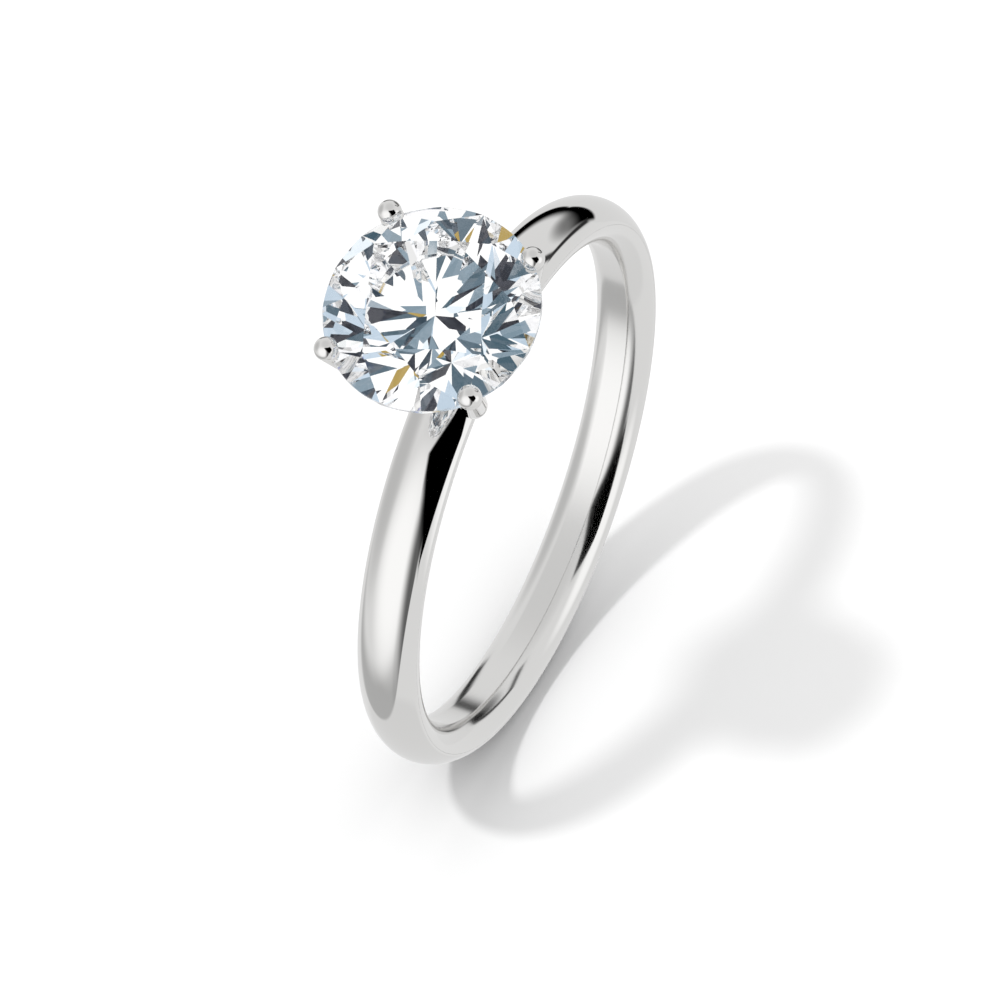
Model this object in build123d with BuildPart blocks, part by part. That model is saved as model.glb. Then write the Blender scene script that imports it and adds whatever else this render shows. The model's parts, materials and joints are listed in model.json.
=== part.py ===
from build123d import *
import os
from math import acos, cos, pi, radians, sin, tan

# Four-claw solitaire ring. The origin is the middle of the finger bore, +Y runs along the finger
# and +Z points to the stone. Lengths are in millimetres and angles in degrees.

# Band: a ring with a domed outside, narrow flat sides and a comfort-fit inside
bore_diameter = 17.0
band_width = 2.12
band_thickness = 1.5
dome_rise = 0.57  # from the top of the side to the crown of the dome
shoulder_radius = 0.25  # where the dome meets the side
shoulder_share = 0.35  # how much straight side the shoulder takes, as a share of its radius
bore_flat = 0.7  # width of the straight part in the middle of the bore
comfort_slope = 9.0  # where the rounded part of the inside starts

# Stone: a round brilliant with a pointed culet
stone_diameter = 7.0
girdle_thickness = 0.2  # where the girdle is thickest
table_diameter = 4.0  # across the table's corners
crown_angle = 34.5
pavilion_angle = 40.8
star_share = 0.5  # of the way from the table's edge to the girdle, seen from above
lower_half_share = 0.78  # of the way from the girdle to the culet, seen from below
stone_turn = -4.0  # from +X to the first main facet
culet_clearance = 1.08  # between the culet and the top of the band
main_facets = 8

# Claws: wires that rise from the collar, lean outwards and end in a ball over the girdle
claw_count = 4
first_claw_turn = 45.0
claw_wire_diameter = 0.86
claw_tip_diameter = 0.78
claw_lean = 18.0  # of the straight upper part, from upright
claw_straight = 1.9  # height of the straight upper part
tip_reach = 0.03  # from the stone's edge out to the middle of the tip
tip_rise = 0.46  # from the middle of the girdle up to the middle of the tip

# Gallery rail: a wire ring let into the inner sides of the claws, under the stone
rail_wire_diameter = 0.46
rail_drop = 1.6  # below the middle of the girdle
rail_bite = 0.07  # how deep it lies in each claw

# Collar and peg: the collar sits on the band, and the peg ties both together
collar_diameter = 2.0
collar_lip = 0.08  # of the collar above the feet of the claws
collar_edge_radius = 0.12
foot_lift = 0.3  # from the top of the band to the middle of a claw's foot
peg_diameter = 1.0

# Fits
solder_gap = 0.02  # between soldered pieces, all round
seat_gap = 0.01  # between the stone and the cuts in the claws

# What follows from them
bore_radius = bore_diameter / 2
band_radius = bore_radius + band_thickness
comfort_depth = band_thickness - dome_rise - shoulder_radius * shoulder_share
comfort_radius = min(
    (band_width - bore_flat) / 2 / (1 - sin(radians(comfort_slope))),
    comfort_depth / cos(radians(comfort_slope)),
)
comfort_x = bore_radius + comfort_radius * cos(radians(comfort_slope))
stone_radius = stone_diameter / 2
table_radius = table_diameter / 2
half_step = 180 / main_facets
culet_z = band_radius + culet_clearance
girdle_bottom_z = culet_z + stone_radius * tan(radians(pavilion_angle))
girdle_top_z = girdle_bottom_z + girdle_thickness
girdle_z = girdle_bottom_z + girdle_thickness / 2
table_z = girdle_top_z + (stone_radius - table_radius) * tan(radians(crown_angle))
claw_radius = claw_wire_diameter / 2
claw_tip_radius = claw_tip_diameter / 2
tip_x = stone_radius + tip_reach
tip_z = girdle_z + tip_rise
bend_x = tip_x - claw_straight * tan(radians(claw_lean))
bend_z = tip_z - claw_straight
foot_z = band_radius + foot_lift
rail_radius = rail_wire_diameter / 2
rail_z = girdle_z - rail_drop
claw_inside_x = tip_x - (tip_z - rail_z) * tan(radians(claw_lean)) - claw_radius / cos(radians(claw_lean))
rail_ring_radius = claw_inside_x + rail_bite - rail_radius
collar_radius = collar_diameter / 2
collar_top_z = foot_z + claw_radius + collar_lip
collar_bottom_z = band_radius - dome_rise - solder_gap
peg_radius = peg_diameter / 2


def inner_line(grown):
    """The inside of the band's section: straight in the middle and rounded to both sides."""
    side_y = band_width / 2 + grown
    flat_x = bore_radius - grown
    arc_radius = comfort_radius + grown
    middle_y = band_width / 2 - comfort_radius
    start = acos((comfort_x - flat_x) / arc_radius)
    flat_y = middle_y + arc_radius * sin(start)
    half = (start + pi / 2) / 2
    over = (comfort_x - arc_radius * cos(half), middle_y + arc_radius * sin(half))
    Line((flat_x, -flat_y), (flat_x, flat_y))
    ThreePointArc((flat_x, flat_y), over, (comfort_x, side_y))
    ThreePointArc((flat_x, -flat_y), (over[0], -over[1]), (comfort_x, -side_y))


def band_ring(grown):
    """The band before it is drilled, with its section grown by this much on every side."""
    side_y = band_width / 2 + grown
    side_top_x = band_radius - dome_rise + grown
    with BuildPart() as ring:
        with BuildSketch(Plane.XY) as section:
            with BuildLine():
                inner_line(grown)
                Line((comfort_x, side_y), (side_top_x, side_y))
                Line((comfort_x, -side_y), (side_top_x, -side_y))
                ThreePointArc((side_top_x, side_y), (band_radius + grown, 0), (side_top_x, -side_y))
            make_face()
            fillet(section.vertices().sort_by(Axis.X)[-2:], shoulder_radius + grown)
        revolve(axis=Axis.Y)
    return ring.part


def finger_room():
    """The space inside the band, which the peg is trimmed back from."""
    side_y = band_width / 2
    with BuildPart() as room:
        with BuildSketch(Plane.XY):
            with BuildLine():
                inner_line(0)
                Polyline((comfort_x, side_y), (0, side_y), (0, -side_y), (comfort_x, -side_y))
            make_face()
        revolve(axis=Axis.Y)
    return room.part


def rail_ring(grown):
    """The gallery rail, with its wire grown by this much."""
    with BuildPart() as ring:
        with Locations((0, 0, rail_z)):
            Torus(rail_ring_radius, rail_radius + grown)
    return ring.part


def stone_point(radius, turn, height):
    """A point of the stone at this distance and turn about its axis."""
    return Vector(radius * cos(radians(turn)), radius * sin(radians(turn)), height)


def facet_through(first, second, third):
    """The plane of a facet through three points, facing out of the stone."""
    normal = (second - first).cross(third - first)
    outwards = first - Vector(0, 0, girdle_z)
    if normal.dot(outwards) < 0:
        normal = -normal
    return Plane(origin=first, z_dir=normal)


def crown_facets(turn):
    """The kite, the star and the two upper halves that belong to the main facet at this turn."""
    table_corner = stone_point(table_radius, turn, table_z)
    girdle_tip = stone_point(stone_radius, turn, girdle_top_z)
    sideways = Vector(-sin(radians(turn)), cos(radians(turn)), 0)
    table_edge = table_radius * cos(radians(half_step))
    star_radius = table_edge + star_share * (stone_radius - table_edge)
    star_drop = (star_radius * cos(radians(half_step)) - table_radius) * tan(radians(crown_angle))
    next_corner = stone_point(table_radius, turn + 2 * half_step, table_z)
    star_tip = stone_point(star_radius, turn + half_step, table_z - star_drop)
    facets = [
        facet_through(girdle_tip, table_corner, girdle_tip + sideways),
        facet_through(table_corner, next_corner, star_tip),
    ]
    for side in (-half_step, half_step):
        star_point = stone_point(star_radius, turn + side, table_z - star_drop)
        girdle_point = stone_point(stone_radius, turn + side, girdle_top_z)
        facets.append(facet_through(girdle_tip, star_point, girdle_point))
    return facets


def pavilion_facets(turn):
    """The pavilion main and the two lower halves that belong to the main facet at this turn."""
    culet = Vector(0, 0, culet_z)
    girdle_tip = stone_point(stone_radius, turn, girdle_bottom_z)
    sideways = Vector(-sin(radians(turn)), cos(radians(turn)), 0)
    half_radius = stone_radius * (1 - lower_half_share)
    half_rise = half_radius * cos(radians(half_step)) * tan(radians(pavilion_angle))
    facets = [facet_through(girdle_tip, culet, girdle_tip + sideways)]
    for side in (-half_step, half_step):
        half_tip = stone_point(half_radius, turn + side, culet_z + half_rise)
        girdle_point = stone_point(stone_radius, turn + side, girdle_bottom_z)
        facets.append(facet_through(girdle_tip, half_tip, girdle_point))
    return facets


def brilliant(grown):
    """The stone: a cylinder cut down facet by facet, with every facet moved out by this much."""
    with BuildPart() as stone:
        with BuildSketch(Plane.XY.offset(culet_z - 2 * grown)):
            Circle(stone_radius + grown)
        extrude(amount=table_z - culet_z + 3 * grown)
        for number in range(main_facets):
            turn = stone_turn + number * 2 * half_step
            for facet in crown_facets(turn) + pavilion_facets(turn):
                split(bisect_by=facet.offset(grown), keep=Keep.BOTTOM)
    return stone.part


band_room = band_ring(solder_gap)
stone_room = brilliant(seat_gap)
rail_room = rail_ring(solder_gap)
os.makedirs("parts", exist_ok=True)

# Band, drilled for the peg under the stone
with BuildPart() as shank:
    add(band_ring(0))
    with BuildSketch(Plane.XY):
        Circle(peg_radius + solder_gap)
    extrude(amount=band_radius + dome_rise, mode=Mode.SUBTRACT)
shank.part.label = "shank"
export_step(shank.part, "parts/shank.step")

# Peg: trimmed flush with the inside of the band, and with the top of the collar
with BuildPart() as head_peg:
    with BuildSketch(Plane.XY):
        Circle(peg_radius)
    extrude(amount=collar_top_z)
    add(finger_room(), mode=Mode.SUBTRACT)
head_peg.part.label = "head_peg"
export_step(head_peg.part, "parts/head_peg.step")

# Collar: coped to the dome of the band and bored for the peg
with BuildPart() as base_collar:
    with BuildSketch(Plane.XY.offset(collar_bottom_z)):
        Circle(collar_radius)
    extrude(amount=collar_top_z - collar_bottom_z)
    fillet(base_collar.edges().group_by(Axis.Z)[-1], collar_edge_radius)
    with BuildSketch(Plane.XY.offset(collar_bottom_z)):
        Circle(peg_radius + solder_gap)
    extrude(amount=collar_top_z - collar_bottom_z, mode=Mode.SUBTRACT)
    add(band_room, mode=Mode.SUBTRACT)
base_collar.part.label = "base_collar"
export_step(base_collar.part, "parts/base_collar.step")

# Gallery rail
with BuildPart() as gallery_rail:
    add(rail_ring(0))
gallery_rail.part.label = "gallery_rail"
export_step(gallery_rail.part, "parts/gallery_rail.step")

# Claws: each is notched for the rail, cut with a bearing for the girdle and coped to the collar
for number in range(claw_count):
    turn = first_claw_turn + number * 360 / claw_count
    along = Vector(cos(radians(turn)), sin(radians(turn)), 0)
    upright = Plane(origin=(0, 0, 0), x_dir=along, z_dir=along.cross(Vector(0, 0, 1)))
    with BuildPart() as claw:
        with BuildLine(upright) as bent_part:
            straight = Line((tip_x, tip_z), (bend_x, bend_z), mode=Mode.PRIVATE)
            TangentArc((bend_x, bend_z), (collar_radius, foot_z), tangent=straight % 1)
        with BuildSketch(Plane(origin=bent_part.line @ 0, z_dir=bent_part.line % 0)):
            Circle(claw_radius)
        sweep(path=bent_part.line)
        upper_bend = Plane(origin=bent_part.line @ 0, z_dir=-(bent_part.line % 0))
        with BuildSketch(upper_bend):
            Circle(claw_radius)
        with BuildSketch(upper_bend.offset(claw_straight / cos(radians(claw_lean)))):
            Circle(claw_tip_radius)
        loft()
        with Locations(along * tip_x + Vector(0, 0, tip_z)):
            Sphere(claw_tip_radius)
        with BuildSketch(Plane.XY):
            Circle(collar_radius + solder_gap)
        extrude(amount=table_z, mode=Mode.SUBTRACT)
        add(rail_room, mode=Mode.SUBTRACT)
        add(stone_room, mode=Mode.SUBTRACT)
        add(band_room, mode=Mode.SUBTRACT)
    claw.part.label = f"claw_{number + 1}"
    export_step(claw.part, f"parts/claw_{number + 1}.step")

# Stone
with BuildPart() as diamond:
    add(brilliant(0))
diamond.part.label = "diamond"
export_step(diamond.part, "parts/diamond.step")
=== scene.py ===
"""Solitaire ring: the polished pieces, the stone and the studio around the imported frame.

Lengths are in metres in the mesh code, and the frame is the row's own: the finger bore's centre
is the origin, +Y runs along the finger and +Z points to the stone.
"""

import json
from math import asin, atan2, cos, pi, radians, sin, sqrt, tan

import bmesh
import bpy
from bpy.props import FloatProperty, FloatVectorProperty, IntProperty, PointerProperty
from bpy.types import Operator, Panel, PropertyGroup
from mathutils import Matrix, Vector


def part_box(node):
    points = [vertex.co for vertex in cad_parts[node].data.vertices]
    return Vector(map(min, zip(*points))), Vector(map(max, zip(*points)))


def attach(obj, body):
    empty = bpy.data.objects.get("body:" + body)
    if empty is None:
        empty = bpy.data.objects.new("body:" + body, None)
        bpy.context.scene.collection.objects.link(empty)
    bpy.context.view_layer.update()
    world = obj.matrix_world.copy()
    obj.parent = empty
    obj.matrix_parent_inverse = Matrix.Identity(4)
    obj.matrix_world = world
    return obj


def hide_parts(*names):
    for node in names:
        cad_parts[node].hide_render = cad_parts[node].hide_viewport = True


bl_info = {
    "name": "Solitaire Ring",
    "version": (1, 0, 0),
    "blender": (4, 5, 0),
    "location": "3D View > Sidebar > Ring",
    "description": "Builds a four-claw solitaire ring, its finishes and a small studio",
    "category": "Object",
}

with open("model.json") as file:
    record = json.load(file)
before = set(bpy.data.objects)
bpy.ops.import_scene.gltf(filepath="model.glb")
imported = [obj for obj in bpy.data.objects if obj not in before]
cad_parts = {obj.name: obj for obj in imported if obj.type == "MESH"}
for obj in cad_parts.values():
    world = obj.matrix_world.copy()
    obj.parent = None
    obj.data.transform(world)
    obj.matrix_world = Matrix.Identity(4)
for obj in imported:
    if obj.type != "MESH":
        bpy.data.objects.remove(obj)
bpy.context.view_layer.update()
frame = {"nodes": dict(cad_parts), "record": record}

MM = 0.001
METAL_SLOT = "white_gold"
STONE_SLOT = "diamond"
CLAWS = ("claw_1", "claw_2", "claw_3", "claw_4")
SHANK_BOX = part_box("shank")
STONE_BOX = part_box("diamond")
RAIL_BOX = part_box("gallery_rail")
COLLAR_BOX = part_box("base_collar")
PEG_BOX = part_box("head_peg")
CLAW_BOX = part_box("claw_1")
BORE = next(m for m in frame["record"]["mounts"] if m["name"] == "finger_bore")["dims"]

MERGE = 1e-8  # points closer than this are one
ON_PLANE = 1e-9  # points closer to a cutting plane than this lie on it
TINY = 1e-7  # the claw's last ring, and the stone's smallest edge
SHADING_MARGIN = 0.01 * MM  # from a flat's edge to the row of points that keeps it flat
CLAW_OVERRUN = 0.5 * MM  # how far a claw's wire runs on into the collar before it is cut
NECK_SHARE = 0.6  # where a claw's ball starts, as a share of its radius
DRILL_SHARE = 1.2  # the drill's length, as a share of the band's outer radius
STAGE_GAP = 0.002 * MM  # between the band and the table
TABLE_RADIUS = 0.6
LAMP_DISTANCE = 0.3
SENSOR_WIDTH = 36.0  # in millimetres
CLIP_START = 0.01
CLIP_END = 5.0

# How finely the curves are divided.
BAND_STEPS = 360
DOME_STEPS = 20
SHOULDER_STEPS = 10
COMFORT_STEPS = 26
RAIL_STEPS = 256
RAIL_WIRE_STEPS = 32
CLAW_SIDES = 48
CLAW_BEND_STEPS = 28
CLAW_STRAIGHT_STEPS = 14
BALL_STEPS = 18
COLUMN_STEPS = 96
DRILL_STEPS = 64
GIRDLE_STEPS = 192
TABLE_STEPS = 96

# The finishes. Scales are per metre, and ranges are of a noise from 0 to 1.
SCRATCH_SCALE = 9000.0
SCRATCH_DEPTH = 0.3
SCRATCH_STRETCH = (1.0, 14.0, 1.0)
SCRATCH_RANGE = (0.55, 0.8)
SCRATCH_ROUGHNESS = 0.03
CLOUD_SCALE = 420.0
CLOUD_RANGE = (0.35, 0.75)
CLEAR_SHARE = 0.85  # roughness where there is no cloud
CLOUD_SHARE = 0.35  # what a cloud adds to it
BUMP_STRENGTH = 0.02
BUMP_DISTANCE = 0.002 * MM
INSIDE_DEPTH = 0.5 * MM  # how deep from the bore's wall the duller finish fades out
GRAIN_SCALE = 30000.0
GROUND_ROUGHNESS = 0.25
GIRDLE_RIM_SHARE = 0.995

# Where each colour of the stone's surroundings starts, from 0 to 1.
STONE_LIGHT = (
    (0.0, (0.003, 0.006, 0.012)),
    (0.08, (0.012, 0.035, 0.055)),
    (0.16, (0.06, 0.11, 0.145)),
    (0.26, (0.2, 0.28, 0.34)),
    (0.34, (0.5, 0.61, 0.72)),
    (0.43, (0.8, 0.88, 0.95)),
    (0.52, (1.0, 1.0, 1.0)),
    (0.953, (0.4, 0.27, 0.03)),
    (0.957, (0.25, 0.25, 0.6)),
    (0.968, (0.98, 1.0, 1.0)),
)
CARD_EDGES = ("First", "Second", "Third", "Fourth")
TABLE_SEEN = (0.98, 0.98, 0.98, 1.0)
TABLE_BOUNCE = (0.72, 0.72, 0.72, 1.0)
BACKDROP = (1.05, 1.05, 1.05, 1.0)
ROOM = (0.84, 0.84, 0.84, 1.0)


# ---------------------------------------------------------------- sizes that can be set


def length(name, description, default):
    return FloatProperty(
        name=name, description=description, default=default, unit="LENGTH", precision=5
    )


def angle(name, description, degrees):
    return FloatProperty(
        name=name, description=description, default=radians(degrees), subtype="ANGLE"
    )


def factor(name, description, default):
    return FloatProperty(
        name=name, description=description, default=default, subtype="FACTOR"
    )


class BandSizes(PropertyGroup):
    """The domed band."""

    bore_radius: length("Bore radius", "Inside radius of the band", BORE["r_mm"] * MM)
    outer_radius: length(
        "Outer radius", "From the bore's axis to the top of the dome", SHANK_BOX[1].x
    )
    width: length("Width", "Size of the band along the finger", SHANK_BOX[1].y - SHANK_BOX[0].y)
    dome_rise: length(
        "Dome rise", "From the top of the flat side to the top of the dome", 0.57 * MM
    )
    shoulder_radius: length("Shoulder radius", "Rounding between the dome and the side", 0.25 * MM)
    bore_flat: length(
        "Straight bore",
        "Width of the straight part in the middle of the bore",
        BORE["length_mm"] * MM,
    )
    comfort_slope: angle("Comfort slope", "Slope at which the rounded part of the inside starts", 9)


class HeadSizes(PropertyGroup):
    """The claws and the rail that hold the stone."""

    wire_diameter: length("Claw wire", "Diameter of a claw below its tip", 0.86 * MM)
    tip_diameter: length("Claw tip", "Diameter of the ball on a claw", 0.78 * MM)
    lean: angle("Claw lean", "Lean of a claw's straight upper part, from upright", 18)
    straight: length("Straight part", "Height of a claw's straight upper part", 1.9 * MM)
    foot_lift: length(
        "Foot lift", "From the top of the band to the middle of a claw's foot", 0.3 * MM
    )
    seat_gap: length("Seat gap", "Between the stone and the cut in each claw", 0.01 * MM)
    solder_gap: length("Solder gap", "Between soldered pieces", 0.02 * MM)


class StoneCut(PropertyGroup):
    """The proportions of the round brilliant."""

    table_diameter: length("Table", "Size of the table across its corners", 4.0 * MM)
    crown_angle: angle("Crown angle", "Slope of the crown's main facets", 34.5)
    pavilion_angle: angle("Pavilion angle", "Slope of the pavilion's main facets", 40.8)
    star_share: factor("Star length", "Share of the way from the table's edge to the girdle", 0.5)
    lower_half_share: factor(
        "Lower half length", "Share of the way from the girdle to the culet", 0.78
    )
    turn: angle("Turn", "From +X to the first main facet", -4)
    mains: IntProperty(name="Main facets", description="Number of main facets", default=8)
    index: FloatProperty(
        name="Refraction", description="How strongly the stone bends light", default=2.417
    )
    sheen: FloatVectorProperty(
        name="Sheen",
        description="Strength and tint of what the facets throw straight back",
        default=(0.25, 0.25, 0.28),
        size=3,
        subtype="COLOR",
        min=0.0,
        max=1.0,
    )


class MetalFinish(PropertyGroup):
    """The polished metal."""

    colour: FloatVectorProperty(
        name="Metal colour",
        description="Reflected colour of the polished metal",
        default=(0.79, 0.785, 0.775),
        subtype="COLOR",
    )
    polish: factor("Roughness", "Roughness of the polished surface", 0.035)
    satin: factor(
        "Inside roughness", "Roughness that the inside of the band has on top of that", 0.13
    )


class StudioSettings(PropertyGroup):
    """The table, the light and the camera."""

    lean: angle(
        "Ring lean", "How far the standing ring is rolled along the table, from stone up", 24.15
    )
    camera_turn: angle("Camera turn", "Turn of the camera about the table's upright", -64.36)
    camera_height: angle("Camera height", "Angle of the camera above the table", 45.53)
    camera_distance: length("Camera distance", "From the aim to the camera", 190.2 * MM)
    lens: FloatProperty(
        name="Lens", description="Focal length in millimetres", default=205.7
    )
    aim: FloatVectorProperty(
        name="Aim",
        description="From the bore's centre to the point aimed at, to the right and up",
        default=(-0.541 * MM, -0.472 * MM),
        size=2,
        unit="LENGTH",
        precision=6,
    )
    sun_turn: angle(
        "Key turn", "Turn of the key light from straight behind the ring, to the right", -114
    )
    sun_height: angle("Key height", "Angle of the key light above the table", 60)
    sun_spread: angle("Key spread", "Angle that the key light fills, which softens its shadow", 5)
    sun_strength: FloatProperty(
        name="Key strength", description="Strength of the key light", default=0.95
    )
    fill: FloatProperty(
        name="Fill", description="Brightness of the even light on the table", default=0.9
    )


class RingSettings(PropertyGroup):
    """Everything that can be set."""

    band: PointerProperty(type=BandSizes)
    head: PointerProperty(type=HeadSizes)
    cut: PointerProperty(type=StoneCut)
    metal: PointerProperty(type=MetalFinish)
    studio: PointerProperty(type=StudioSettings)


# ---------------------------------------------------------------- small helpers


def settings():
    """The ring's settings, as the panel shows them."""
    return bpy.context.scene.solitaire


def link_object(name, mesh):
    """A new object at the origin, in the scene's collection."""
    made = bpy.data.objects.new(name, mesh)
    bpy.context.scene.collection.objects.link(made)
    return made


def finish_piece(piece, slot_name, *nodes):
    """Rides the piece on the ring's one body, in place of its CAD nodes."""
    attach(piece, "root")
    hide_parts(*nodes)


def baked_mesh(source, name):
    """The source object as it is with its modifiers, as a plain mesh. The source is removed."""
    bpy.context.view_layer.update()
    graph = bpy.context.evaluated_depsgraph_get()
    mesh = bpy.data.meshes.new_from_object(source.evaluated_get(graph), depsgraph=graph)
    mesh.name = name
    bpy.data.objects.remove(source)
    return mesh


def clean_mesh(mesh, sharp=radians(30)):
    """Merges doubles, faces every face outwards and shades smooth but for sharp edges."""
    work = bmesh.new()
    work.from_mesh(mesh)
    bmesh.ops.remove_doubles(work, verts=work.verts, dist=MERGE)
    bmesh.ops.dissolve_degenerate(work, edges=work.edges, dist=MERGE)
    bmesh.ops.recalc_face_normals(work, faces=work.faces)
    for face in work.faces:
        face.smooth = True
    for edge in work.edges:
        edge.smooth = edge.calc_face_angle(pi) < sharp
    work.to_mesh(mesh)
    work.free()
    return mesh


def only_material(mesh, material):
    """The mesh with this one material and no other."""
    mesh.materials.clear()
    mesh.materials.append(material)


def arc_points(centre, radius, start, end, steps):
    """Points along an arc, both ends included. Angles are in radians."""
    turns = [start + (end - start) * k / steps for k in range(steps + 1)]
    return [(centre[0] + radius * cos(t), centre[1] + radius * sin(t)) for t in turns]


def supported_line(start, end, steps):
    """Points along a straight run, with one close to each end so that shading stays flat."""
    a, b = Vector(start), Vector(end)
    along = (b - a).normalized()
    first, last = a + along * SHADING_MARGIN, b - along * SHADING_MARGIN
    return [tuple(first.lerp(last, k / steps)) for k in range(steps + 1)]


# ---------------------------------------------------------------- node tree helpers


class TreeBuilder:
    """Adds nodes to a tree and wires them by socket name."""

    def __init__(self, tree):
        self.tree = tree

    def node(self, kind, **inputs):
        """A new node with these inputs, which are values or other nodes' outputs."""
        made = self.tree.nodes.new(kind)
        for name, value in inputs.items():
            self.put(made.inputs[name.replace("_", " ")], value)
        return made

    def group(self, tree, label="", **inputs):
        """A new group node with these inputs."""
        made = self.tree.nodes.new("ShaderNodeGroup")
        made.node_tree, made.label = tree, label
        for name, value in inputs.items():
            self.put(made.inputs[name.replace("_", " ")], value)
        return made

    def put(self, socket, value):
        if isinstance(value, bpy.types.NodeSocket):
            self.tree.links.new(value, socket)
        else:
            socket.default_value = value

    def maths(self, operation, *values):
        made = self.tree.nodes.new("ShaderNodeMath")
        made.operation = operation
        for socket, value in zip(made.inputs, values):
            self.put(socket, value)
        return made.outputs[0]

    def vector(self, operation, *values):
        made = self.tree.nodes.new("ShaderNodeVectorMath")
        made.operation = operation
        for socket, value in zip(made.inputs, values):
            self.put(socket, value)
        return made.outputs["Value" if operation in ("DOT_PRODUCT", "LENGTH") else "Vector"]

    def mix(self, factor, a, b):
        """A colour mix. The colour sockets share their names with others, so go by number."""
        made = self.tree.nodes.new("ShaderNodeMix")
        made.data_type = "RGBA"
        self.put(made.inputs["Factor"], factor)
        self.put(made.inputs[6], a)
        self.put(made.inputs[7], b)
        return made.outputs[2]

    def smooth_step(self, value, low, high):
        """0 below low and 1 above high, with an S curve between."""
        made = self.tree.nodes.new("ShaderNodeMapRange")
        made.interpolation_type = "SMOOTHSTEP"
        self.put(made.inputs["Value"], value)
        self.put(made.inputs["From Min"], low)
        self.put(made.inputs["From Max"], high)
        return made.outputs["Result"]


def new_group(name, kind, inputs, outputs):
    """A node group with named sockets. Returns its builder, its input node and output node."""
    tree = bpy.data.node_groups.new(name, kind)
    for label, socket_type, default in inputs:
        made = tree.interface.new_socket(label, in_out="INPUT", socket_type=socket_type)
        if default is not None:
            made.default_value = default
    for label, socket_type in outputs:
        tree.interface.new_socket(label, in_out="OUTPUT", socket_type=socket_type)
    build = TreeBuilder(tree)
    return build, build.node("NodeGroupInput"), build.node("NodeGroupOutput")


def finish_tree(build, given, result, geometry):
    """Ends a geometry tree: makes instances real and sets the material."""
    realized = build.node("GeometryNodeRealizeInstances", Geometry=geometry)
    coloured = build.node(
        "GeometryNodeSetMaterial",
        Geometry=realized.outputs["Geometry"],
        Material=given.outputs["Material"],
    )
    build.put(result.inputs["Geometry"], coloured.outputs["Geometry"])


def run_geometry(name, mesh, tree, **values):
    """Runs a geometry tree on a mesh with these inputs and returns the plain result."""
    source = link_object(name, mesh)
    modifier = source.modifiers.new(name, "NODES")
    modifier.node_group = tree
    for item in tree.interface.items_tree:
        if item.item_type == "SOCKET" and item.in_out == "INPUT":
            key = item.name.lower().replace(" ", "_")
            if key in values:
                modifier[item.identifier] = values[key]
    return baked_mesh(source, name)


# ---------------------------------------------------------------- finishes


def polish_group():
    """Fine marks that a polishing wheel leaves: faint arcs of scratches and a soft cloudiness."""
    if "Wheel polish" in bpy.data.node_groups:
        return bpy.data.node_groups["Wheel polish"]
    build, given, result = new_group(
        "Wheel polish",
        "ShaderNodeTree",
        [
            ("Vector", "NodeSocketVector", None),
            ("Base Roughness", "NodeSocketFloat", 0.03),
            ("Scratch Scale", "NodeSocketFloat", SCRATCH_SCALE),
            ("Scratch Depth", "NodeSocketFloat", SCRATCH_DEPTH),
            ("Inside Radius", "NodeSocketFloat", 0.0),
            ("Inside Roughness", "NodeSocketFloat", 0.1),
        ],
        [("Roughness", "NodeSocketFloat"), ("Height", "NodeSocketFloat")],
    )
    place = given.outputs["Vector"]
    stretched = build.node("ShaderNodeMapping", Vector=place, Scale=SCRATCH_STRETCH)
    scratches = build.node(
        "ShaderNodeTexNoise",
        Vector=stretched.outputs["Vector"],
        Scale=given.outputs["Scratch Scale"],
        Detail=2.0,
        Roughness=0.6,
    )
    cloud = build.node("ShaderNodeTexNoise", Vector=place, Scale=CLOUD_SCALE, Detail=3.0)
    marks = build.smooth_step(scratches.outputs["Fac"], *SCRATCH_RANGE)
    clouded = build.smooth_step(cloud.outputs["Fac"], *CLOUD_RANGE)
    deep = build.maths("MULTIPLY", marks, given.outputs["Scratch Depth"])
    build.put(result.inputs["Height"], deep)
    spread = build.maths("MULTIPLY_ADD", clouded, CLOUD_SHARE, CLEAR_SHARE)
    rough = build.maths("MULTIPLY", spread, given.outputs["Base Roughness"])
    marked = build.maths("MULTIPLY_ADD", deep, SCRATCH_ROUGHNESS, rough)
    out = build.vector("LENGTH", build.vector("MULTIPLY", place, (1.0, 0.0, 1.0)))
    rim = build.maths("ADD", given.outputs["Inside Radius"], INSIDE_DEPTH)
    outside = build.smooth_step(out, given.outputs["Inside Radius"], rim)
    worn = build.maths("SUBTRACT", 1.0, outside)
    satin = build.maths("MULTIPLY", worn, given.outputs["Inside Roughness"])
    build.put(result.inputs["Roughness"], build.maths("ADD", marked, satin))
    return build.tree


def metal_material():
    """Bright polished white gold, a little duller inside the band."""
    name = "polished white gold"
    if name in bpy.data.materials:
        return bpy.data.materials[name]
    finish = settings().metal
    material = bpy.data.materials.new(name)
    material.use_nodes = True
    build = TreeBuilder(material.node_tree)
    shader = material.node_tree.nodes["Principled BSDF"]
    shader.inputs["Base Color"].default_value = (*finish.colour, 1.0)
    shader.inputs["Metallic"].default_value = 1.0
    marks = build.group(
        polish_group(),
        Vector=build.node("ShaderNodeTexCoord").outputs["Object"],
        Base_Roughness=finish.polish,
        Inside_Radius=settings().band.bore_radius,
        Inside_Roughness=finish.satin,
    )
    build.put(shader.inputs["Roughness"], marks.outputs["Roughness"])
    bump = build.node(
        "ShaderNodeBump",
        Strength=BUMP_STRENGTH,
        Distance=BUMP_DISTANCE,
        Height=marks.outputs["Height"],
    )
    build.put(shader.inputs["Normal"], bump.outputs["Normal"])
    return material


def girdle_heights():
    """Heights of the girdle's lower and upper edge."""
    cut = settings().cut
    low, high = STONE_BOX
    lower = low.z + high.x * tan(cut.pavilion_angle)
    upper = high.z - (high.x - cut.table_diameter / 2) * tan(cut.crown_angle)
    return lower, upper


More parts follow.
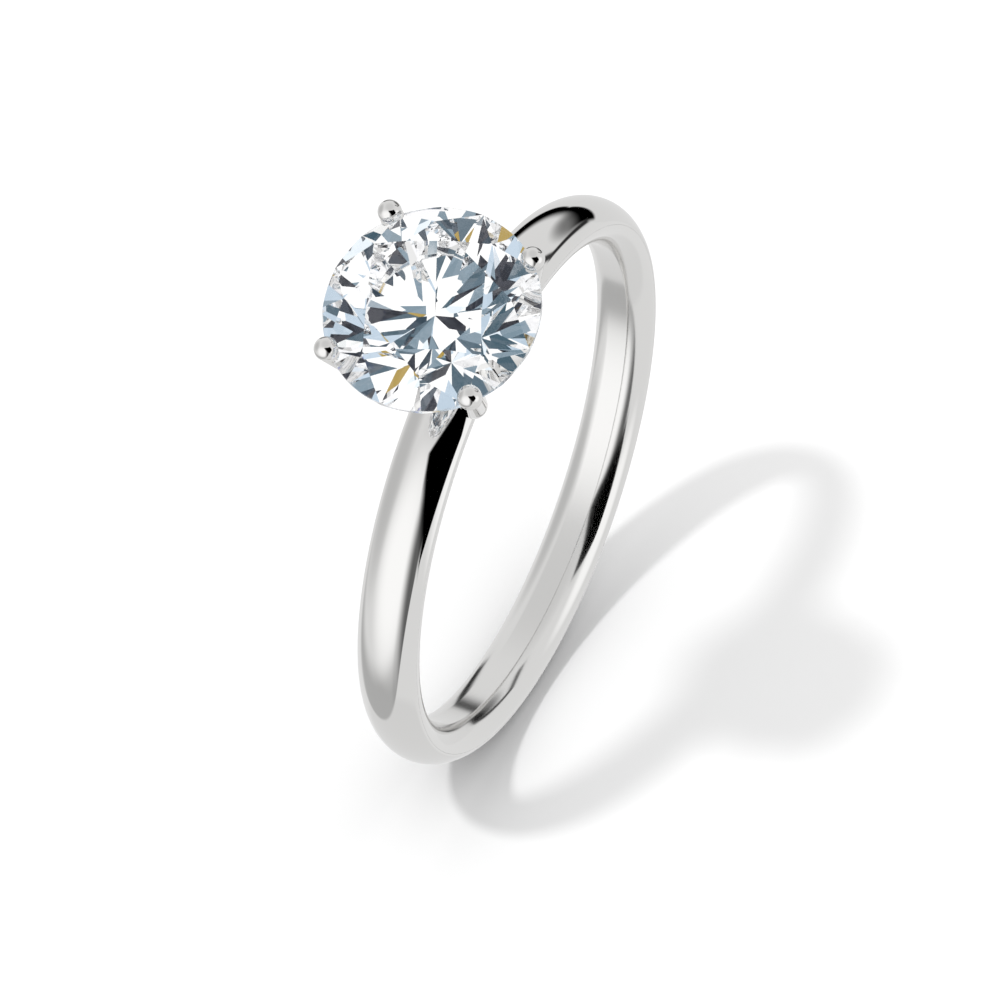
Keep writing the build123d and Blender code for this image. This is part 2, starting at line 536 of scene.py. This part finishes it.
def girdle_group():
    """Roughness of a cut stone: its girdle is ground, and its facets are polished."""
    build, given, result = new_group(
        "Ground girdle",
        "ShaderNodeTree",
        [
            ("Vector", "NodeSocketVector", None),
            ("Girdle Height", "NodeSocketFloat", 0.0),
            ("Girdle Thickness", "NodeSocketFloat", 0.2 * MM),
            ("Girdle Radius", "NodeSocketFloat", 3.5 * MM),
        ],
        [("Roughness", "NodeSocketFloat")],
    )
    place = given.outputs["Vector"]
    out = build.vector("LENGTH", build.vector("MULTIPLY", place, (1.0, 1.0, 0.0)))
    edge = build.maths("MULTIPLY", given.outputs["Girdle Radius"], GIRDLE_RIM_SHARE)
    rim = build.maths("GREATER_THAN", out, edge)
    up = build.node("ShaderNodeSeparateXYZ", Vector=place).outputs["Z"]
    above = build.maths("SUBTRACT", up, given.outputs["Girdle Height"])
    half = build.maths("MULTIPLY", given.outputs["Girdle Thickness"], 0.5)
    level = build.maths("LESS_THAN", build.maths("ABSOLUTE", above), half)
    grain = build.node("ShaderNodeTexNoise", Vector=place, Scale=GRAIN_SCALE, Detail=2.0)
    ground = build.maths("MULTIPLY", build.maths("MULTIPLY", rim, level), GROUND_ROUGHNESS)
    build.put(result.inputs["Roughness"], build.maths("MULTIPLY", ground, grain.outputs["Fac"]))
    return build.tree


def stone_material():
    """Clear stone, with the fine ground finish of its girdle."""
    cut = settings().cut
    material = bpy.data.materials.new("brilliant stone")
    material.use_nodes = True
    shader = material.node_tree.nodes["Principled BSDF"]
    shader.inputs["Base Color"].default_value = (1.0, 1.0, 1.0, 1.0)
    shader.inputs["IOR"].default_value = cut.index
    shader.inputs["Transmission Weight"].default_value = 1.0
    shader.inputs["Specular Tint"].default_value = (*cut.sheen, 1.0)
    build = TreeBuilder(material.node_tree)
    lower, upper = girdle_heights()
    ground = build.group(
        girdle_group(),
        Vector=build.node("ShaderNodeTexCoord").outputs["Object"],
        Girdle_Height=(lower + upper) / 2,
        Girdle_Thickness=upper - lower,
        Girdle_Radius=STONE_BOX[1].x,
    )
    build.put(shader.inputs["Roughness"], ground.outputs["Roughness"])
    return material


# ---------------------------------------------------------------- band


def band_section():
    """The band's outline as (distance from the bore's axis, place along the finger)."""
    band = settings().band
    half = band.width / 2
    dome_radius = (half**2 + band.dome_rise**2) / (2 * band.dome_rise)
    dome_x = band.outer_radius - dome_radius
    shoulder = band.shoulder_radius
    shoulder_y = half - shoulder
    shoulder_x = dome_x + sqrt((dome_radius - shoulder) ** 2 - shoulder_y**2)
    dome_end = atan2(shoulder_y, shoulder_x - dome_x)
    comfort = (half - band.bore_flat / 2) / (1 - sin(band.comfort_slope))
    comfort_x = band.bore_radius + comfort * cos(band.comfort_slope)
    comfort_y = half - comfort
    flat_y = band.bore_flat / 2
    slope_start = pi - band.comfort_slope
    bore = band.bore_radius
    outline = arc_points((dome_x, 0), dome_radius, 0, dome_end, DOME_STEPS)[:-1]
    outline += arc_points(
        (shoulder_x, shoulder_y), shoulder, dome_end, pi / 2, SHOULDER_STEPS
    )
    outline += supported_line((shoulder_x, half), (comfort_x, half), 1)
    outline += arc_points((comfort_x, comfort_y), comfort, pi / 2, slope_start, COMFORT_STEPS)
    outline += supported_line((bore, flat_y), (bore, -flat_y), 3)[:2]
    outline.append((bore, 0))
    return outline + [(x, -y) for x, y in reversed(outline[1:-1])]


def section_mesh(points, offset):
    """A closed outline of edges, with its distances taken from a ring of radius offset."""
    mesh = bpy.data.meshes.new("section")
    count = len(points)
    edges = [(k, (k + 1) % count) for k in range(count)]
    mesh.from_pydata([(x - offset, y, 0) for x, y in points], edges, [])
    return mesh


def band_tree():
    """Sweeps an outline round a circle and drills the result."""
    build, given, result = new_group(
        "Swept band",
        "GeometryNodeTree",
        [
            ("Geometry", "NodeSocketGeometry", None),
            ("Ring Radius", "NodeSocketFloat", 0.01),
            ("Segments", "NodeSocketInt", BAND_STEPS),
            ("Drill Radius", "NodeSocketFloat", 0.0005),
            ("Drill Length", "NodeSocketFloat", 0.01),
            ("Material", "NodeSocketMaterial", None),
        ],
        [("Geometry", "NodeSocketGeometry")],
    )
    outline = build.node("GeometryNodeMeshToCurve", Mesh=given.outputs["Geometry"])
    ring = build.node(
        "GeometryNodeCurvePrimitiveCircle",
        Resolution=given.outputs["Segments"],
        Radius=given.outputs["Ring Radius"],
    )
    swept = build.node(
        "GeometryNodeCurveToMesh",
        Curve=ring.outputs["Curve"],
        Profile_Curve=outline.outputs["Curve"],
    )
    upright = build.node(
        "GeometryNodeTransform",
        Geometry=swept.outputs["Mesh"],
        Rotation=(radians(-90), 0, 0),
    )
    drill = build.node(
        "GeometryNodeMeshCylinder",
        Vertices=DRILL_STEPS,
        Radius=given.outputs["Drill Radius"],
        Depth=given.outputs["Drill Length"],
    )
    half_length = build.maths("MULTIPLY", given.outputs["Drill Length"], 0.5)
    lifted = build.node("ShaderNodeCombineXYZ", Z=half_length)
    placed = build.node(
        "GeometryNodeTransform",
        Geometry=drill.outputs["Mesh"],
        Translation=lifted.outputs["Vector"],
    )
    drilled = build.node(
        "GeometryNodeMeshBoolean",
        Mesh_1=upright.outputs["Geometry"],
        Mesh_2=placed.outputs["Geometry"],
    )
    drilled.operation = "DIFFERENCE"
    finish_tree(build, given, result, drilled.outputs["Mesh"])
    return build.tree


class RING_OT_band(Operator):
    """Make the domed band, drilled for the head's peg"""

    bl_idname = "solitaire.band"
    bl_label = "Band"

    def execute(self, context):
        band, head = settings().band, settings().head
        ring_radius = (band.bore_radius + band.outer_radius) / 2
        peg_radius = (PEG_BOX[1].x - PEG_BOX[0].x) / 2
        mesh = run_geometry(
            "band",
            section_mesh(band_section(), ring_radius),
            band_tree(),
            ring_radius=ring_radius,
            segments=BAND_STEPS,
            drill_radius=peg_radius + head.solder_gap,
            drill_length=band.outer_radius * DRILL_SHARE,
            material=metal_material(),
        )
        clean_mesh(mesh)
        only_material(mesh, metal_material())
        finish_piece(link_object("band", mesh), METAL_SLOT, "shank")
        return {"FINISHED"}


# ---------------------------------------------------------------- head


def claw_tip_place():
    """How far out and how high the middle of a claw's ball lies."""
    radius = settings().head.tip_diameter / 2
    out = (CLAW_BOX[1].x - radius) * sqrt(2)
    return out, CLAW_BOX[1].z - radius


def claw_path():
    """A claw's middle line as (out, up, radius), from foot to the top of its ball."""
    head, band = settings().head, settings().band
    wire, ball = head.wire_diameter / 2, head.tip_diameter / 2
    tip_out, tip_up = claw_tip_place()
    bend_out = tip_out - head.straight * tan(head.lean)
    bend_up = tip_up - head.straight
    foot = Vector(((COLLAR_BOX[1].x - COLLAR_BOX[0].x) / 2, band.outer_radius + head.foot_lift))
    bend = Vector((bend_out, bend_up))
    inwards = Vector((-cos(head.lean), sin(head.lean)))
    chord = foot - bend
    arc_radius = chord.length_squared / (2 * chord.dot(inwards))
    centre = bend + inwards * arc_radius
    start = atan2(bend.y - centre.y, bend.x - centre.x)
    end = atan2(foot.y - centre.y, foot.x - centre.x)
    overrun = CLAW_OVERRUN / arc_radius
    lower = arc_points(centre, arc_radius, end - overrun, start, CLAW_BEND_STEPS)
    path = [(x, z, wire) for x, z in lower]
    tip = Vector((tip_out, tip_up))
    upward = (tip - bend).normalized()
    neck_length = (tip - bend).length - ball * NECK_SHARE
    for k in range(1, CLAW_STRAIGHT_STEPS + 1):
        share = k / CLAW_STRAIGHT_STEPS
        point = bend + upward * neck_length * share
        path.append((point.x, point.y, wire + (ball - wire) * share))
    first = asin(NECK_SHARE)
    for k in range(BALL_STEPS + 1):
        turn = -first + (pi / 2 + first) * k / BALL_STEPS
        point = tip + upward * ball * sin(turn)
        path.append((point.x, point.y, max(ball * cos(turn), TINY)))
    return path


def turned_mesh(name, outline):
    """An outline of (out, up) turned about Z into a closed solid."""
    work = bmesh.new()
    verts = [work.verts.new((x, 0, z)) for x, z in outline]
    edges = [work.edges.new(pair) for pair in zip(verts, verts[1:])]
    bmesh.ops.spin(
        work,
        geom=verts + edges,
        cent=(0, 0, 0),
        axis=(0, 0, 1),
        angle=2 * pi,
        steps=COLUMN_STEPS,
        use_merge=True,
    )
    bmesh.ops.remove_doubles(work, verts=work.verts, dist=MERGE)
    bmesh.ops.recalc_face_normals(work, faces=work.faces)
    mesh = bpy.data.meshes.new(name)
    work.to_mesh(mesh)
    work.free()
    return mesh


def rail_size():
    """Radius of the rail's ring, radius of its wire and its height."""
    low, high = RAIL_BOX
    wire = (high.z - low.z) / 2
    return high.x - wire, wire, (low.z + high.z) / 2


def rail_mesh(name, grown):
    """A ring of round wire, with the wire's radius grown."""
    ring, wire, height = rail_size()
    wire += grown
    ring_steps, wire_steps = RAIL_STEPS, RAIL_WIRE_STEPS
    verts, faces = [], []
    for i in range(ring_steps):
        row, next_row = i * wire_steps, (i + 1) % ring_steps * wire_steps
        for j in range(wire_steps):
            a, b = 2 * pi * i / ring_steps, 2 * pi * j / wire_steps
            out = ring + wire * cos(b)
            verts.append((out * cos(a), out * sin(a), height + wire * sin(b)))
            j2 = (j + 1) % wire_steps
            faces.append((row + j, next_row + j, next_row + j2, row + j2))
    mesh = bpy.data.meshes.new(name)
    mesh.from_pydata(verts, [], faces)
    return mesh


def claw_tree():
    """Grows a wire of changing thickness on a path and turns it to its place."""
    build, given, result = new_group(
        "Claw wire",
        "GeometryNodeTree",
        [
            ("Geometry", "NodeSocketGeometry", None),
            ("Turn", "NodeSocketFloat", 0.0),
            ("Sides", "NodeSocketInt", CLAW_SIDES),
            ("Material", "NodeSocketMaterial", None),
        ],
        [("Geometry", "NodeSocketGeometry")],
    )
    thickness = build.node("GeometryNodeInputNamedAttribute", Name="thickness")
    thickness.data_type = "FLOAT"
    path = build.node("GeometryNodeMeshToCurve", Mesh=given.outputs["Geometry"])
    sized = build.node(
        "GeometryNodeSetCurveRadius",
        Curve=path.outputs["Curve"],
        Radius=thickness.outputs["Attribute"],
    )
    section = build.node(
        "GeometryNodeCurvePrimitiveCircle", Radius=1.0, Resolution=given.outputs["Sides"]
    )
    wire = build.node(
        "GeometryNodeCurveToMesh",
        Curve=sized.outputs["Curve"],
        Profile_Curve=section.outputs["Curve"],
        Scale=thickness.outputs["Attribute"],
        Fill_Caps=True,
    )
    turn = build.node("ShaderNodeCombineXYZ", Z=given.outputs["Turn"])
    placed = build.node(
        "GeometryNodeTransform",
        Geometry=wire.outputs["Mesh"],
        Rotation=turn.outputs["Vector"],
    )
    finish_tree(build, given, result, placed.outputs["Geometry"])
    return build.tree


def path_mesh(path):
    """A chain of edges along (out, up, radius), with the radius kept as an attribute."""
    mesh = bpy.data.meshes.new("path")
    edges = [(k, k + 1) for k in range(len(path) - 1)]
    mesh.from_pydata([(x, 0, z) for x, z, _ in path], edges, [])
    thickness = mesh.attributes.new("thickness", "FLOAT", "POINT")
    thickness.data.foreach_set("value", [r for _, _, r in path])
    return mesh


def cut_away(mesh, name, cutters):
    """The mesh less each cutter mesh."""
    work = link_object(name, mesh)
    tools = []
    for cutter in cutters:
        tool = link_object(cutter.name + " tool", cutter)
        tools.append(tool)
        modifier = work.modifiers.new(cutter.name, "BOOLEAN")
        modifier.operation, modifier.solver, modifier.object = "DIFFERENCE", "EXACT", tool
    result = baked_mesh(work, name)
    for tool in tools:
        bpy.data.objects.remove(tool)
    return result


class RING_OT_claws(Operator):
    """Make the claws, each cut for the stone, the rail and the collar"""

    bl_idname = "solitaire.claws"
    bl_label = "Claws"

    def execute(self, context):
        head = settings().head
        tree = claw_tree()
        collar = (COLLAR_BOX[1].x - COLLAR_BOX[0].x) / 2 + head.solder_gap
        top = STONE_BOX[0].z
        outline = [(0, 0), (collar, 0), (collar, top), (0, top)]
        cutters = [
            brilliant_mesh("stone room", head.seat_gap),
            rail_mesh("rail room", head.solder_gap),
            turned_mesh("collar room", outline),
        ]
        for name in CLAWS:
            low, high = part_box(name)
            middle = (low + high) / 2
            mesh = run_geometry(
                name,
                path_mesh(claw_path()),
                tree,
                turn=atan2(middle.y, middle.x),
                sides=CLAW_SIDES,
                material=metal_material(),
            )
            clean_mesh(mesh)
            mesh = clean_mesh(cut_away(mesh, name, cutters))
            only_material(mesh, metal_material())
            claw = link_object(name + "_wire", mesh)
            claw.visible_glossy = False
            finish_piece(claw, METAL_SLOT, name)
        return {"FINISHED"}


class RING_OT_rail(Operator):
    """Make the gallery rail under the stone"""

    bl_idname = "solitaire.rail"
    bl_label = "Gallery rail"

    def execute(self, context):
        mesh = clean_mesh(rail_mesh("rail", 0))
        only_material(mesh, metal_material())
        rail = link_object("rail", mesh)
        rail.visible_glossy = False
        finish_piece(rail, METAL_SLOT, "gallery_rail")
        return {"FINISHED"}


class RING_OT_base(Operator):
    """Finish the collar and the peg, whose shapes come from the frame"""

    bl_idname = "solitaire.base"
    bl_label = "Collar and peg"

    def execute(self, context):
        for name in ("base_collar", "head_peg"):
            piece = frame["nodes"][name]
            for place in piece.material_slots:
                place.material = metal_material()
        return {"FINISHED"}


# ---------------------------------------------------------------- stone


def facet_planes(grown):
    """Every facet, moved out by this much, as (a point on it, its outward direction)."""
    cut = settings().cut
    low, high = STONE_BOX
    radius, table_radius = high.x, cut.table_diameter / 2
    crown, pavilion = tan(cut.crown_angle), tan(cut.pavilion_angle)
    girdle_low, girdle_high = girdle_heights()
    half_step = pi / cut.mains
    table_edge = table_radius * cos(half_step)
    star_radius = table_edge + cut.star_share * (radius - table_edge)
    star_up = high.z - (star_radius * cos(half_step) - table_radius) * crown
    half_radius = radius * (1 - cut.lower_half_share)
    half_up = low.z + half_radius * cos(half_step) * pavilion
    middle = Vector((0, 0, (girdle_low + girdle_high) / 2))

    def point(out, turn, up):
        return Vector((out * cos(turn), out * sin(turn), up))

    def through(a, b, c):
        normal = (b - a).cross(c - a).normalized()
        outward = normal if normal.dot(a - middle) > 0 else -normal
        return a + outward * grown, outward

    planes = []
    for k in range(cut.mains):
        turn = cut.turn + 2 * half_step * k
        sideways = Vector((-sin(turn), cos(turn), 0)) * radius
        corner = point(table_radius, turn, high.z)
        upper_tip = point(radius, turn, girdle_high)
        lower_tip = point(radius, turn, girdle_low)
        culet = Vector((0, 0, low.z))
        planes.append(through(upper_tip, corner, upper_tip + sideways))
        planes.append(through(lower_tip, culet, lower_tip + sideways))
        next_corner = point(table_radius, turn + 2 * half_step, high.z)
        planes.append(through(corner, next_corner, point(star_radius, turn + half_step, star_up)))
        for side in (-half_step, half_step):
            star = point(star_radius, turn + side, star_up)
            planes.append(through(upper_tip, star, point(radius, turn + side, girdle_high)))
            half_tip = point(half_radius, turn + side, half_up)
            planes.append(through(lower_tip, half_tip, point(radius, turn + side, girdle_low)))
    return planes


def brilliant_mesh(name, grown):
    """A round blank cut down facet by facet, with everything moved out by this much."""
    low, high = STONE_BOX
    bottom, top = low.z - 2 * grown, high.z + grown
    work = bmesh.new()
    bmesh.ops.create_cone(
        work,
        cap_ends=True,
        cap_tris=False,
        segments=GIRDLE_STEPS,
        radius1=high.x + grown,
        radius2=high.x + grown,
        depth=top - bottom,
        matrix=Matrix.Translation((0, 0, (bottom + top) / 2)),
    )
    for place, outward in facet_planes(grown):
        cut = bmesh.ops.bisect_plane(
            work,
            geom=work.verts[:] + work.edges[:] + work.faces[:],
            dist=ON_PLANE,
            plane_co=place,
            plane_no=outward,
            clear_outer=True,
        )
        edges = [e for e in cut["geom_cut"] if isinstance(e, bmesh.types.BMEdge)]
        if edges:
            bmesh.ops.edgeloop_fill(work, edges=edges)
    bmesh.ops.remove_doubles(work, verts=work.verts, dist=TINY)
    bmesh.ops.recalc_face_normals(work, faces=work.faces)
    mesh = bpy.data.meshes.new(name)
    work.to_mesh(mesh)
    work.free()
    return mesh


class RING_OT_stone(Operator):
    """Cut the round brilliant stone"""

    bl_idname = "solitaire.stone"
    bl_label = "Stone"

    def execute(self, context):
        mesh = brilliant_mesh("stone", 0)
        only_material(mesh, stone_material())
        finish_piece(link_object("stone", mesh), STONE_SLOT, "diamond")
        return {"FINISHED"}


# ---------------------------------------------------------------- studio


def stage_axes():
    """The table's upright, and its right and away as the camera sees them."""
    studio = settings().studio
    up = Vector((sin(studio.lean), 0, cos(studio.lean)))
    along = Vector((cos(studio.lean), 0, -sin(studio.lean)))
    across = Vector((0, 1, 0))
    turn = studio.camera_turn
    right = along * cos(turn) + across * sin(turn)
    away = across * cos(turn) - along * sin(turn)
    return right, away, up


def stage_direction(turn, height):
    """A direction at this turn from straight away, to the right, and height above the table."""
    right, away, up = stage_axes()
    return (right * sin(turn) + away * cos(turn)) * cos(height) + up * sin(height)


def card_group():
    """How far a direction lies inside a four-cornered card, whose edges may each be soft."""
    if "Studio card" in bpy.data.node_groups:
        return bpy.data.node_groups["Studio card"]
    sockets = [("Direction", "NodeSocketVector", None)]
    sockets += [(edge + " Edge", "NodeSocketVector", None) for edge in CARD_EDGES]
    sockets += [(edge + " Softness", "NodeSocketFloat", 0.01) for edge in CARD_EDGES]
    build, given, result = new_group(
        "Studio card", "ShaderNodeTree", sockets, [("Cover", "NodeSocketFloat")]
    )
    inside = None
    for edge in CARD_EDGES:
        depth = build.vector(
            "DOT_PRODUCT", given.outputs["Direction"], given.outputs[edge + " Edge"]
        )
        share = build.maths("DIVIDE", depth, given.outputs[edge + " Softness"])
        inside = share if inside is None else build.maths("MINIMUM", inside, share)
    build.put(result.inputs["Cover"], build.smooth_step(inside, -1.0, 1.0))
    return build.tree


def glow_group():
    """A round soft glow in a direction, full inside one angle and gone outside another."""
    if "Soft glow" in bpy.data.node_groups:
        return bpy.data.node_groups["Soft glow"]
    build, given, result = new_group(
        "Soft glow",
        "ShaderNodeTree",
        [
            ("Direction", "NodeSocketVector", None),
            ("Centre", "NodeSocketVector", None),
            ("Inner", "NodeSocketFloat", 0.9),
            ("Outer", "NodeSocketFloat", 0.5),
        ],
        [("Cover", "NodeSocketFloat")],
    )
    nearness = build.vector("DOT_PRODUCT", given.outputs["Direction"], given.outputs["Centre"])
    cover = build.smooth_step(nearness, given.outputs["Outer"], given.outputs["Inner"])
    build.put(result.inputs["Cover"], cover)
    return build.tree


class Surroundings:
    """Builds up what the metal and the stone see, one light or card at a time."""

    def __init__(self, build, direction, colour):
        self.build, self.direction, self.colour = build, direction, colour

    def lay(self, cover, tint, strength=1.0):
        """Lays a grey or a colour over what is there, as far as it covers."""
        shade = self.build.maths("MULTIPLY", cover, strength)
        colour = tint if isinstance(tint, tuple) else (tint, tint, tint)
        self.colour = self.build.mix(shade, self.colour, (*colour, 1.0))

    def card(self, label, corners, tint, soft=0.01):
        """A card between four (turn, height) corners in degrees, listed round its edge."""
        softness = soft if isinstance(soft, tuple) else (soft,) * 4
        points = [stage_direction(radians(t), radians(h)) for t, h in corners]
        middle = sum(points, Vector())
        node = self.build.group(card_group(), label, Direction=self.direction)
        for k, edge in enumerate(CARD_EDGES):
            side = points[k].cross(points[(k + 1) % 4]).normalized()
            side = side if side.dot(middle) > 0 else -side
            self.build.put(node.inputs[edge + " Edge"], side)
            self.build.put(node.inputs[edge + " Softness"], softness[k])
        self.lay(node.outputs["Cover"], tint)

    def glow(self, label, centre, inner, outer, tint, strength=1.0):
        """A round glow about a (turn, height) centre. All angles are in degrees."""
        node = self.build.group(
            glow_group(),
            label,
            Direction=self.direction,
            Centre=stage_direction(radians(centre[0]), radians(centre[1])),
            Inner=cos(radians(inner)),
            Outer=cos(radians(outer)),
        )
        self.lay(node.outputs["Cover"], tint, strength)


def metal_surroundings(build, direction):
    """Soft boxes, flags and gaps that show in the polished metal."""
    around = Surroundings(build, direction, ROOM)
    around.glow("overhead", (0, 90), 10, 50, 0.72)
    around.glow("table", (0, -90), 30, 36, 0.78)
    around.card(
        "table in front",
        ((-180, -27), (-60, -27), (-60, -53), (-180, -53)),
        0.5,
        soft=(0.14, 0.1, 0.02, 0.1),
    )
    around.glow("left side falls off", (-72, 5), 5, 40, 0.6)
    around.glow("front left soft box", (-152, 2), 12, 58, 1.2)
    around.glow("right sweep", (110, 0), 8, 30, 1.15)
    around.card(
        "grey screen beside the camera",
        ((150, 24), (154, -10), (178, -51), (174, 24)),
        0.14,
        soft=(0.04, 0.02, 0.2, 0.14),
    )
    around.glow("shade behind the table", (34, 9), 2, 20, 0.1, strength=0.85)
    around.card(
        "dark gap behind the table",
        ((-22, 6), (-22, -13), (41, -13), (41, 8)),
        0.0,
        soft=(0.03, 0.02, 0.05, 0.1),
    )
    around.card(
        "table's far edge",
        ((-19, -13), (12, -1.5), (12, -40), (-19, -40)),
        0.8,
        soft=0.02,
    )
    around.card(
        "table's far corner",
        ((11, -1.5), (44, -9), (44, -40), (11, -40)),
        0.8,
        soft=0.02,
    )
    around.card("slit", ((38, -2), (43, -4), (63, 17), (57, 19)), 0.03, soft=0.025)
    around.card("slit's upper part", ((57, 16), (62, 16), (60, 40), (50, 39)), 0.05, soft=0.03)
    around.card("black flag", ((118, 45), (118, 12), (150, -8), (156, 49)), 0.0)
    around.card(
        "black flag's wing",
        ((148, -8), (184, 33), (200, 48), (148, 50)),
        0.0,
        soft=(0.08, 0.05, 0.03, 0.03),
    )
    return around.colour


def broken_light_group():
    """A patchwork of white, slate, dark and coloured patches, for the stone to break up."""
    build, given, result = new_group(
        "Broken light",
        "ShaderNodeTree",
        [
            ("Direction", "NodeSocketVector", None),
            ("Patches", "NodeSocketFloat", 4.3),
            ("White", "NodeSocketFloat", 1.12),
        ],
        [("Color", "NodeSocketColor")],
    )
    cells = build.node(
        "ShaderNodeTexVoronoi",
        Vector=given.outputs["Direction"],
        Scale=given.outputs["Patches"],
        Randomness=1.0,
    )
    cells.distance = "MANHATTAN"
    share = build.node("ShaderNodeSeparateColor", Color=cells.outputs["Color"])
    ramp = build.node("ShaderNodeValToRGB")
    ramp.color_ramp.interpolation = "CONSTANT"
    stops = ramp.color_ramp.elements
    for k, (start, colour) in enumerate(STONE_LIGHT):
        stop = stops[k] if k < 2 else stops.new(start)
        stop.position = start
        stop.color = (*colour, 1.0)
    build.put(ramp.inputs["Fac"], share.outputs["Red"])
    bright = build.vector("MULTIPLY", ramp.outputs["Color"], given.outputs["White"])
    build.put(result.inputs["Color"], bright)
    return build.tree


def stone_surroundings(build, direction):
    """What the light that comes out of the stone was thrown back from."""
    patches = build.group(broken_light_group(), "patches", Direction=direction)
    around = Surroundings(build, direction, patches.outputs["Color"])
    around.glow("below the table", (0, -90), 80, 92, (1.0, 1.0, 1.02))
    return around.colour


def make_world():
    """Even light for the table, and the studio's cards for the metal and the stone."""
    studio = settings().studio
    world = bpy.data.worlds.new("studio")
    bpy.context.scene.world = world
    world.use_nodes = True
    world.cycles.sampling_method = "NONE"
    build = TreeBuilder(world.node_tree)
    background = world.node_tree.nodes["Background"]
    direction = build.node("ShaderNodeTexCoord").outputs["Generated"]
    path = build.node("ShaderNodeLightPath")
    colour = build.mix(
        path.outputs["Is Transmission Ray"],
        metal_surroundings(build, direction),
        stone_surroundings(build, direction),
    )
    lit = build.mix(path.outputs["Is Diffuse Ray"], colour, (studio.fill,) * 3 + (1.0,))
    seen = build.mix(path.outputs["Is Camera Ray"], lit, BACKDROP)
    build.put(background.inputs["Color"], seen)


def make_floor():
    """A wide white table that the ring stands on. It isn't seen from below."""
    band = settings().band
    up = stage_axes()[2]
    tilt = Vector((0, 0, 1)).rotation_difference(up).to_matrix().to_4x4()
    place = Matrix.Translation(-up * (band.outer_radius + STAGE_GAP)) @ tilt
    work = bmesh.new()
    bmesh.ops.create_circle(
        work, cap_ends=True, segments=TABLE_STEPS, radius=TABLE_RADIUS, matrix=place
    )
    mesh = bpy.data.meshes.new("table")
    work.to_mesh(mesh)
    work.free()
    material = bpy.data.materials.new("white table")
    material.use_nodes = True
    tree = material.node_tree
    tree.nodes.clear()
    build = TreeBuilder(tree)
    path = build.node("ShaderNodeLightPath")
    tint = build.mix(path.outputs["Is Camera Ray"], TABLE_BOUNCE, TABLE_SEEN)
    matt = build.node("ShaderNodeBsdfDiffuse", Color=tint)
    clear = build.node("ShaderNodeBsdfTransparent")
    side = build.node("ShaderNodeNewGeometry")
    shown = build.node("ShaderNodeMixShader")
    build.put(shown.inputs["Fac"], side.outputs["Backfacing"])
    build.put(shown.inputs[1], matt.outputs["BSDF"])
    build.put(shown.inputs[2], clear.outputs["BSDF"])
    build.node("ShaderNodeOutputMaterial", Surface=shown.outputs["Shader"])
    only_material(mesh, material)
    table = link_object("table", mesh)
    table.visible_glossy = False
    table.visible_transmission = False


def make_key_light():
    """A small key light, which throws the ring's shadow."""
    studio = settings().studio
    lamp = bpy.data.lights.new("key light", "SUN")
    lamp.energy, lamp.angle = studio.sun_strength, studio.sun_spread
    holder = bpy.data.objects.new("key light", lamp)
    bpy.context.scene.collection.objects.link(holder)
    towards = stage_direction(studio.sun_turn, studio.sun_height)
    holder.rotation_mode = "QUATERNION"
    holder.rotation_quaternion = towards.to_track_quat("Z", "Y")
    holder.location = towards * LAMP_DISTANCE
    holder.visible_glossy = False
    holder.visible_transmission = False


def make_camera():
    """A long lens on the ring, from above and to one side."""
    studio = settings().studio
    right, away, up = stage_axes()
    back = up * sin(studio.camera_height) - away * cos(studio.camera_height)
    image_up = back.cross(right)
    data = bpy.data.cameras.new("camera")
    data.lens, data.sensor_width = studio.lens, SENSOR_WIDTH
    data.clip_start, data.clip_end = CLIP_START, CLIP_END
    camera = bpy.data.objects.new("camera", data)
    bpy.context.scene.collection.objects.link(camera)
    turned = Matrix((right, image_up, back)).transposed().to_4x4()
    aim = right * studio.aim[0] + image_up * studio.aim[1]
    camera.matrix_world = Matrix.Translation(aim + back * studio.camera_distance) @ turned
    bpy.context.scene.camera = camera


class RING_OT_studio(Operator):
    """Set up the table, the light, the cards and the camera"""

    bl_idname = "solitaire.studio"
    bl_label = "Studio"

    def execute(self, context):
        make_world()
        make_floor()
        make_key_light()
        make_camera()
        scene = context.scene
        scene.view_settings.view_transform = "Standard"
        cycles = scene.cycles
        cycles.max_bounces, cycles.glossy_bounces, cycles.transmission_bounces = 40, 32, 32
        cycles.diffuse_bounces = 3
        cycles.caustics_reflective = False
        cycles.caustics_refractive = False
        cycles.blur_glossy = 0.0
        cycles.use_denoising = True
        return {"FINISHED"}


# ---------------------------------------------------------------- add-on


class RING_PT_panel(Panel):
    """The ring's pieces and sizes."""

    bl_idname = "RING_PT_panel"
    bl_label = "Solitaire Ring"
    bl_space_type = "VIEW_3D"
    bl_region_type = "UI"
    bl_category = "Ring"

    def draw(self, context):
        for operator in OPERATORS:
            self.layout.operator(operator.bl_idname)
        ring = context.scene.solitaire
        for group in (ring.band, ring.head, ring.cut, ring.metal, ring.studio):
            box = self.layout.box()
            for name in group.bl_rna.properties.keys():
                if name not in ("rna_type", "name"):
                    box.prop(group, name)


GROUPS = (BandSizes, HeadSizes, StoneCut, MetalFinish, StudioSettings, RingSettings)
OPERATORS = (RING_OT_band, RING_OT_claws, RING_OT_rail, RING_OT_base, RING_OT_stone, RING_OT_studio)


def register():
    """Adds the classes and the settings to Blender."""
    for part in (*GROUPS, *OPERATORS, RING_PT_panel):
        bpy.utils.register_class(part)
    bpy.types.Scene.solitaire = PointerProperty(type=RingSettings)


def unregister():
    """Takes them out again."""
    del bpy.types.Scene.solitaire
    for part in reversed((*GROUPS, *OPERATORS, RING_PT_panel)):
        bpy.utils.unregister_class(part)


def main():
    """Builds the ring and its studio."""
    register()
    bpy.ops.solitaire.band()
    bpy.ops.solitaire.claws()
    bpy.ops.solitaire.rail()
    bpy.ops.solitaire.base()
    bpy.ops.solitaire.stone()
    bpy.ops.solitaire.studio()


if __name__ == "__main__":
    main()
